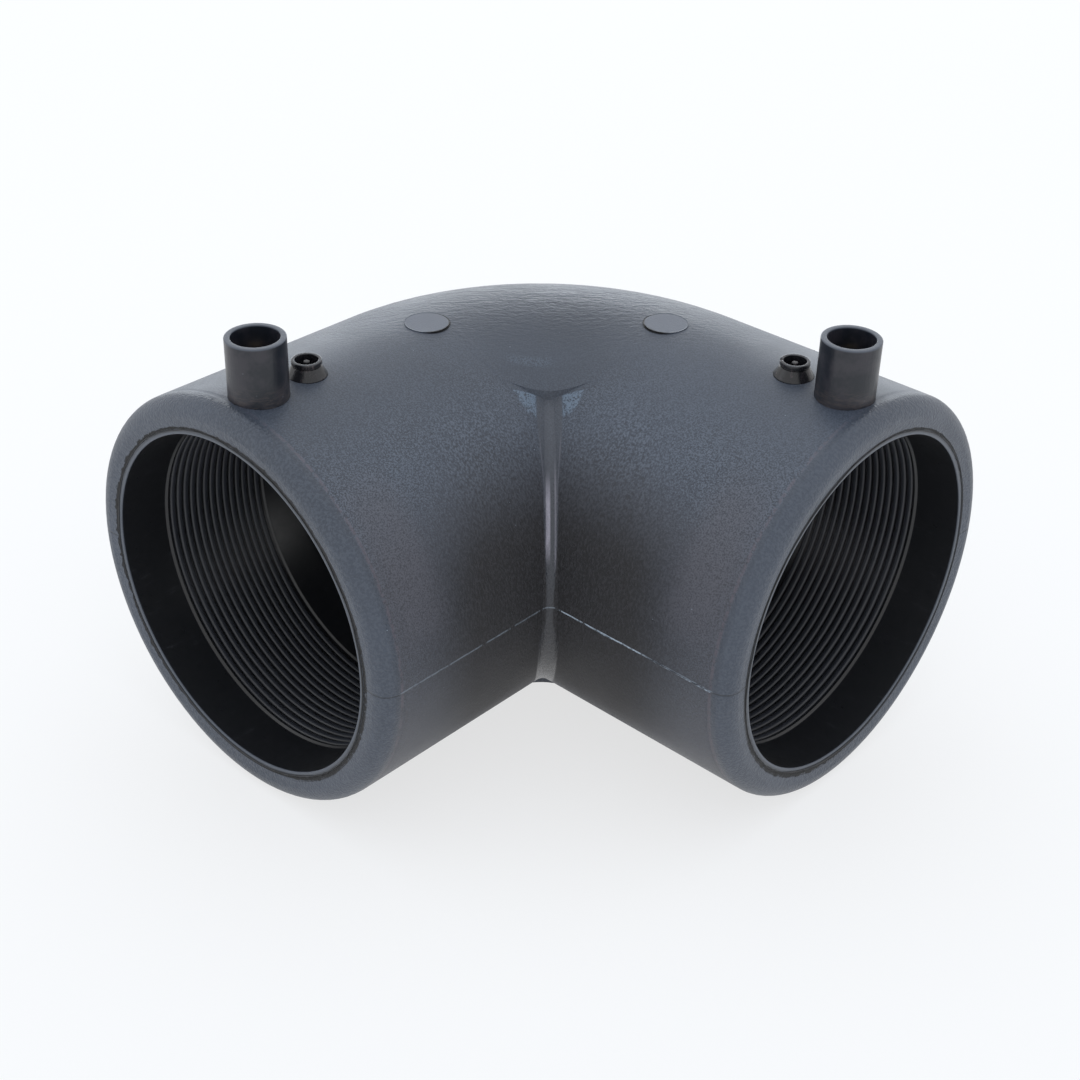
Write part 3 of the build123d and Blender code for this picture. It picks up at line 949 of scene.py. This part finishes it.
class ELBOW_OT_indicators(ElbowStep, Operator):
    """Collared cup of each fusion indicator, and the domed pin in it"""

    bl_idname = "elbow.indicators"
    bl_label = "Fusion indicators"

    def build(self, scene):
        sizes = scene.elbow_sizes
        material = indicator_finish(scene.elbow_colours)
        skin, sunk, bore = 2 * BODY_RADIUS, 0.7 * MM, sizes.cup_bore
        channel, shank, cone, neck, collar = 0.8 * MM, 3.2 * MM, 3.05 * MM, 2.80 * MM, 3.15 * MM
        for side in SIDES:
            node = f"fusion_indicator_{side}"
            low, top = height(node)
            base = half_width(node)
            floor = low + 2.0 * MM
            outline = rounded(
                [
                    (channel, low, 0.0),
                    (shank, low, 0.0),
                    (shank, skin - sunk, 0.0),
                    (base, skin - sunk, 0.0),
                    (base, skin + 0.02 * MM, 0.25 * MM),
                    (cone, top - 1.25 * MM, 0.25 * MM),
                    (neck, top - 1.15 * MM, 0.1 * MM),
                    (neck, top - 0.95 * MM, 0.1 * MM),
                    (collar, top - 0.85 * MM, 0.15 * MM),
                    (collar, top, 0.3 * MM),
                    (bore, top, 0.25 * MM),
                    (bore, floor, 0.4 * MM),
                    (channel, floor, 0.0),
                ]
            )
            cup = lathe(f"indicator_cup_{side}", outline, Matrix.Translation(middle(node)), 128)
            if side == "right":
                nick(cup.data, middle(node) + Vector((-2.55 * MM, -1.75 * MM, top)), 0.75 * MM, 0.42 * MM)
            fitted(cup, material, "indicator", node)
            pin = f"indicator_pin_{side}"
            low, high = height(pin)
            radius = half_width(pin)
            shoulder = high - 0.7 * MM
            dome = radius * 0.92
            outline = rounded(
                [
                    (0.0, low, 0.0),
                    (radius, low, 0.0),
                    (radius, shoulder, 0.2 * MM),
                    (dome, shoulder, 0.1 * MM),
                    (dome, high, dome * 0.9),
                    (0.0, high, 0.0),
                ],
                8,
            )
            domed = lathe(f"indicator_stem_{side}", outline, Matrix.Translation(middle(pin)), 48)
            fitted(domed, material, "indicator", pin)


def nick(mesh, spot, reach, depth):
    """Press a small dent into a rim."""
    for vertex in mesh.vertices:
        gap = (vertex.co - spot).length / reach
        if gap < 1:
            vertex.co.z -= depth * (1 - gap * gap)


class ELBOW_OT_parting_line(ElbowStep, Operator):
    """Thin broken flash where the two halves of the mould met"""

    bl_idname = "elbow.parting_line"
    bl_label = "Parting line"

    def build(self, scene):
        sizes = scene.elbow_sizes
        inputs = {"Width": "Float", "Break": "Float", "Seed": "Int", "Material": "Material"}
        nodes, put = node_tree("parting_flash", inputs)
        path = nodes.shape("MeshToCurve", {0: put["Geometry"]})
        even = nodes.shape("ResampleCurve", {"Curve": path, "Length": 0.25 * MM}, {"mode": "LENGTH"})
        place = nodes.shape("InputPosition", {})
        wide = nodes.seeded_noise(place, put["Seed"], 110.0, 2.0)
        fine = nodes.seeded_noise(place, put["Seed"] + 5, 900.0, 2.0)
        sway = nodes.seeded_noise(place, put["Seed"] + 11, 60.0, 2.0)
        aside = (sway - 0.5) * (0.5 * MM) + (fine - 0.5) * (0.12 * MM)
        shift = nodes.node("ShaderNodeCombineXYZ", inputs={2: aside})
        bent = nodes.shape("SetPosition", {"Geometry": even, "Offset": shift})
        share = (wide - put["Break"]).step(0.0, 0.12) * (0.55 + fine * 0.9) + 0.02
        upright = nodes.shape("SetCurveNormal", {0: bent}, {"mode": "Z_UP"})
        circle = nodes.shape("CurvePrimitiveCircle", {"Resolution": 6, "Radius": put["Width"] * 0.5})
        sized = nodes.shape("SetCurveRadius", {"Curve": upright, "Radius": share})
        sweep = {"Curve": sized, "Profile Curve": circle, "Scale": share, "Fill Caps": True}
        flash = nodes.shape("CurveToMesh", sweep)
        end_tree(nodes, flash, put["Material"])
        material = flash_finish(scene.elbow_colours)
        left_run, right_run = inner_routes()
        for name, route, wide, broken in (
            ("left", left_run, 0.65, 0.50),
            ("right", right_run, 1.30, 0.45),
            ("outer", outer_route(), 0.9, 0.52),
        ):
            values = {"Width": sizes.flash_width * wide, "Break": broken, "Seed": sizes.seed, "Material": material}
            line = grown(f"parting_flash_{name}", nodes, values, line_carrier(f"parting_route_{name}", route))
            fitted(line, material, "body")


def inner_routes():
    """The left and the right run: from the lip along the inner side, half way round the crotch's fillet."""
    radius, end, turn = BODY_RADIUS, LINE_END, CROTCH_FILLET
    corner = Vector((radius + turn, -radius - turn, 0))
    angles = [math.radians(15 * i) for i in range(7)]
    arc = [corner + Vector((-math.cos(a), math.sin(a), 0)) * turn for a in angles]
    left_run = [Vector((radius, -end, 0)), *arc[:4]]
    right_run = [*arc[3:], Vector((end, -radius, 0))]
    return [CENTRE + p for p in left_run], [CENTRE + p for p in right_run]


def outer_route():
    """From the left lip along the outside, round the bend and to the right lip."""
    radius, end, bend = BODY_RADIUS, LINE_END, BEND_RADIUS
    arc = [
        Vector((bend, -bend, 0)) + Vector((-math.cos(a), math.sin(a), 0)) * (bend + radius)
        for a in (math.radians(3 * i) for i in range(31))
    ]
    return [CENTRE + p for p in (Vector((-radius, -end, 0)), *arc, Vector((end, radius, 0)))]


class ELBOW_OT_specks(ElbowStep, Operator):
    """Dust and small blisters, scattered over the body's outside"""

    bl_idname = "elbow.specks"
    bl_label = "Specks"

    def build(self, scene):
        sizes = scene.elbow_sizes
        inputs = {"Density": "Float", "Size": "Float", "Seed": "Int", "Material": "Material"}
        nodes, put = node_tree("specks", inputs)
        spread = nodes.node(
            "GeometryNodeDistributePointsOnFaces", {"distribute_method": "RANDOM"},
            {"Mesh": put["Geometry"], "Density": put["Density"], "Seed": put["Seed"]},
        )
        grit = nodes.shape("MeshIcoSphere", {"Radius": put["Size"] * 0.5, "Subdivisions": 1})
        flat = nodes.shape("Transform", {"Geometry": grit, "Scale": Vector((1.0, 1.0, 0.6))})
        size = nodes.node(
            "FunctionNodeRandomValue", {"data_type": "FLOAT"}, {2: 0.35, 3: 1.5, "Seed": put["Seed"] + 3}, output=1
        )
        turn = Signal(nodes, spread.socket.node.outputs["Rotation"])
        placed = nodes.node(
            "GeometryNodeInstanceOnPoints", inputs={"Points": spread, "Instance": flat, "Rotation": turn, "Scale": size}
        )
        end_tree(nodes, placed, put["Material"])
        material = speck_finish()
        density = sizes.specks / DUSTY_AREA
        values = {"Density": density, "Size": sizes.speck_size, "Seed": sizes.seed, "Material": material}
        dust = grown("specks", nodes, values, outside_of_body("speck_ground"))
        fitted(dust, material, "body")


def outside_of_body(name):
    """A copy of the body's outer skin alone, to scatter on."""
    mesh = frame["nodes"]["elbow_body"].data.copy()
    mesh.name = name
    work = bmesh.new()
    work.from_mesh(mesh)
    hidden = []
    bend, top, underside = BEND_RADIUS / MM, 46.4, -40
    for face in work.faces:
        p = (face.calc_center_median() - CENTRE) / MM
        along, beside = max(p.x, -p.y), min(p.x, -p.y)
        to_axis = math.hypot(math.hypot(max(bend - p.x, 0), max(bend + p.y, 0)) - bend, p.z)
        inside = math.hypot(beside, p.z) < 45.0 and along > 40 or to_axis < 40 and along < 40
        if inside or p.z > top or p.z < underside:
            hidden.append(face)
    bmesh.ops.delete(work, geom=hidden, context="FACES")
    work.to_mesh(mesh)
    work.free()
    return placed(name, mesh)


class ELBOW_OT_studio(ElbowStep, Operator):
    """Pale floor, white surroundings, soft lamps and the camera"""

    bl_idname = "elbow.studio"
    bl_label = "Studio"

    def build(self, scene):
        studio = scene.elbow_studio
        scene.view_settings.view_transform = "Standard"
        self.set_floor(studio)
        self.set_world(scene, studio)
        middle_of_it = (CAD_BOX[0] + CAD_BOX[1]) / 2
        for name, place, width, depth, power in LAMPS:
            light = bpy.data.lights.new(name, "AREA")
            light.shape = "RECTANGLE"
            light.size, light.size_y, light.energy = width, depth, power
            light.color = LAMP_COLOUR
            lamp = placed(name, light)
            lamp.location = place
            lamp.rotation_euler = (middle_of_it - Vector(place)).to_track_quat("-Z", "Y").to_euler()
        self.set_camera(scene, studio)

    def set_floor(self, studio):
        half = FLOOR_HALF
        mesh = bpy.data.meshes.new("floor")
        corners = [(-half, -half, 0), (half, -half, 0), (half, half, 0), (-half, half, 0)]
        mesh.from_pydata(corners, [], [(0, 1, 2, 3)])
        floor = placed("floor", mesh)
        f = Finish("pale_floor")
        diffuse = f.node("ShaderNodeBsdfDiffuse", inputs={"Color": paint(studio.floor)})
        white = f.node("ShaderNodeEmission", inputs={"Color": paint(WHITE), "Strength": 1.0})
        f.surface(f.node("ShaderNodeMixShader", inputs={0: f.seen() * studio.whiteness, 1: diffuse, 2: white}))
        f.material.cycles.emission_sampling = "NONE"
        floor.data.materials.append(f.material)

    def set_world(self, scene, studio):
        world = bpy.data.worlds.new("surroundings")
        world.use_nodes = True
        scene.world = world
        nodes = Nodes(world.node_tree)
        nodes.tree.nodes.clear()
        colour = nodes.mix(nodes.seen(), tuple(c * studio.ambient for c in studio.sky), WHITE)
        light = nodes.node("ShaderNodeBackground", inputs={"Color": colour, "Strength": 1.0})
        output = nodes.tree.nodes.new("ShaderNodeOutputWorld")
        nodes.tree.links.new(light.socket, output.inputs["Surface"])

    def set_camera(self, scene, studio):
        sight = Vector(studio.sight).normalized()
        right = sight.cross(UP).normalized()
        above = right.cross(sight)
        turn = Matrix((right, above, -sight)).transposed() @ Matrix.Rotation(studio.roll, 3, "Z")
        data = bpy.data.cameras.new("camera")
        data.sensor_width, data.lens = 36.0, studio.lens
        data.clip_start, data.clip_end = 0.01, 20.0
        camera = placed("camera", data)
        camera.matrix_world = Matrix.Translation(Vector(studio.eye)) @ turn.to_4x4()
        scene.camera = camera


STEPS = (
    ELBOW_OT_body,
    ELBOW_OT_metal,
    ELBOW_OT_sleeves,
    ELBOW_OT_windings,
    ELBOW_OT_torn_edges,
    ELBOW_OT_shrouds,
    ELBOW_OT_indicators,
    ELBOW_OT_parting_line,
    ELBOW_OT_specks,
    ELBOW_OT_studio,
)


class ELBOW_PT_panel(Panel):
    """The elbow's pieces and sizes"""

    bl_label = "Electrofusion elbow"
    bl_idname = "ELBOW_PT_panel"
    bl_space_type = "VIEW_3D"
    bl_region_type = "UI"
    bl_category = "Elbow"

    def draw(self, context):
        for group in (context.scene.elbow_sizes, context.scene.elbow_colours, context.scene.elbow_studio):
            box = self.layout.box()
            for name in group.__annotations__:
                box.prop(group, name)
        column = self.layout.column()
        for step in STEPS:
            column.operator(step.bl_idname)


CLASSES = (ElbowSizes, ElbowColours, ElbowStudio, *STEPS, ELBOW_PT_panel)


def register():
    for one in CLASSES:
        bpy.utils.register_class(one)
    bpy.types.Scene.elbow_sizes = PointerProperty(type=ElbowSizes)
    bpy.types.Scene.elbow_colours = PointerProperty(type=ElbowColours)
    bpy.types.Scene.elbow_studio = PointerProperty(type=ElbowStudio)


def unregister():
    for name in ("elbow_sizes", "elbow_colours", "elbow_studio"):
        delattr(bpy.types.Scene, name)
    for one in reversed(CLASSES):
        bpy.utils.unregister_class(one)


def main():
    register()
    for step in STEPS:
        group, name = step.bl_idname.split(".")
        getattr(getattr(bpy.ops, group), name)()


if __name__ == "__main__":
    main()
